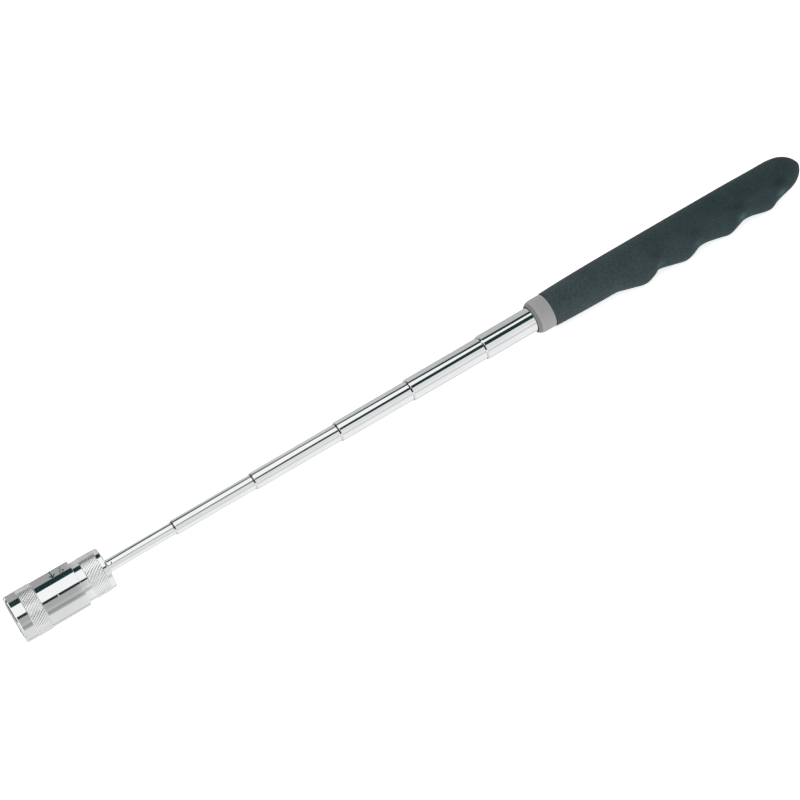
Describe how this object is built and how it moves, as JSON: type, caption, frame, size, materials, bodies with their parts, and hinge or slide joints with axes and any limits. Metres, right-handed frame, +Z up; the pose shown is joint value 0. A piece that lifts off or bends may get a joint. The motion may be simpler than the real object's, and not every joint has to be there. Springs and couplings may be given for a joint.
{
  "type": "magnetic pickup tool",
  "caption": "Telescopic magnetic pick-up tool: a twist-on lamp head with a magnet face, nested chrome tubes and a handle with finger ridges.",
  "frame": {"origin": "centre of the magnet's working face, which is flush with the rim of the lamp head", "axes": "+X runs back along the tool's axis from the magnet's face to the tip of the handle; +Z is up as the tool lies on a bench, with its finger ridges towards -Y and a little down"},
  "size_m": [0.3829, 0.0215, 0.0206],
  "materials": {
    "chrome": "bright polished chrome plate",
    "grip_rubber": "matte dark grey, fine grained",
    "collar_plastic": "satin mid grey",
    "black_plastic": "matte black",
    "magnet_nickel": "nickel plated, lightly scuffed",
    "steel": "turned, zinc plated",
    "cell_nickel": "drawn nickel plated can",
    "led_clear": "clear epoxy dome",
    "board": "green solder mask",
    "brass": "turned",
    "bronze": "spring bronze strip",
    "liner": "fibre tube",
    "nitrile": "matte black"
  },
  "bodies": {
    "handle": {"grip": "grip_rubber", "handle_core": "collar_plastic", "tube_1": "chrome", "tube_plug": "brass"},
    "slider_2": {"slip_spring_2": "bronze"},
    "section_2": {"tube_2": "chrome"},
    "slider_3": {"slip_spring_3": "bronze"},
    "section_3": {"tube_3": "chrome"},
    "slider_4": {"slip_spring_4": "bronze"},
    "section_4": {"tube_4": "chrome"},
    "slider_5": {"slip_spring_5": "bronze"},
    "section_5": {"tube_5": "chrome"},
    "slider_6": {"slip_spring_6": "bronze"},
    "section_6": {"tube_6": "chrome", "rear_cap": "chrome", "o_ring": "nitrile", "head_pin": "steel", "contact_spring": "steel"},
    "lamp": {"front_bezel": "chrome", "battery_sleeve": "chrome", "magnet": "magnet_nickel", "magnet_cup": "steel", "led_holder": "black_plastic", "led_1": "led_clear", "led_2": "led_clear", "led_3": "led_clear", "led_board": "board", "board_contact": "brass", "cell_1": "cell_nickel", "cell_2": "cell_nickel", "cell_3": "cell_nickel", "battery_liner": "liner"}
  },
  "joints": [
    {"name": "section_2_slide", "type": "slide", "parent": "handle", "child": "slider_2", "axis": [-1, 0, 0], "range_m": [-0.0343, 0.0869]},
    {"name": "section_2_spin", "type": "hinge", "parent": "slider_2", "child": "section_2", "pos_m": [0.1842, 0, 0], "axis": [1, 0, 0], "continuous": true},
    {"name": "section_3_slide", "type": "slide", "parent": "section_2", "child": "slider_3", "axis": [-1, 0, 0], "range_m": [-0.033, 0.0897]},
    {"name": "section_3_spin", "type": "hinge", "parent": "slider_3", "child": "section_3", "pos_m": [0.1497, 0, 0], "axis": [1, 0, 0], "continuous": true},
    {"name": "section_4_slide", "type": "slide", "parent": "section_3", "child": "slider_4", "axis": [-1, 0, 0], "range_m": [-0.0389, 0.0853]},
    {"name": "section_4_spin", "type": "hinge", "parent": "slider_4", "child": "section_4", "pos_m": [0.1093, 0, 0], "axis": [1, 0, 0], "continuous": true},
    {"name": "section_5_slide", "type": "slide", "parent": "section_4", "child": "slider_5", "axis": [-1, 0, 0], "range_m": [-0.0356, 0.0901]},
    {"name": "section_5_spin", "type": "hinge", "parent": "slider_5", "child": "section_5", "pos_m": [0.0722, 0, 0], "axis": [1, 0, 0], "continuous": true},
    {"name": "section_6_slide", "type": "slide", "parent": "section_5", "child": "slider_6", "axis": [-1, 0, 0], "range_m": [-0.0288, 0.0984]},
    {"name": "section_6_spin", "type": "hinge", "parent": "slider_6", "child": "section_6", "pos_m": [0.0419, 0, 0], "axis": [1, 0, 0], "continuous": true},
    {"name": "lamp_twist", "type": "hinge", "parent": "section_6", "child": "lamp", "pos_m": [0.0288, 0, 0], "axis": [1, 0, 0], "range_deg": [0, 90]}
  ]
}
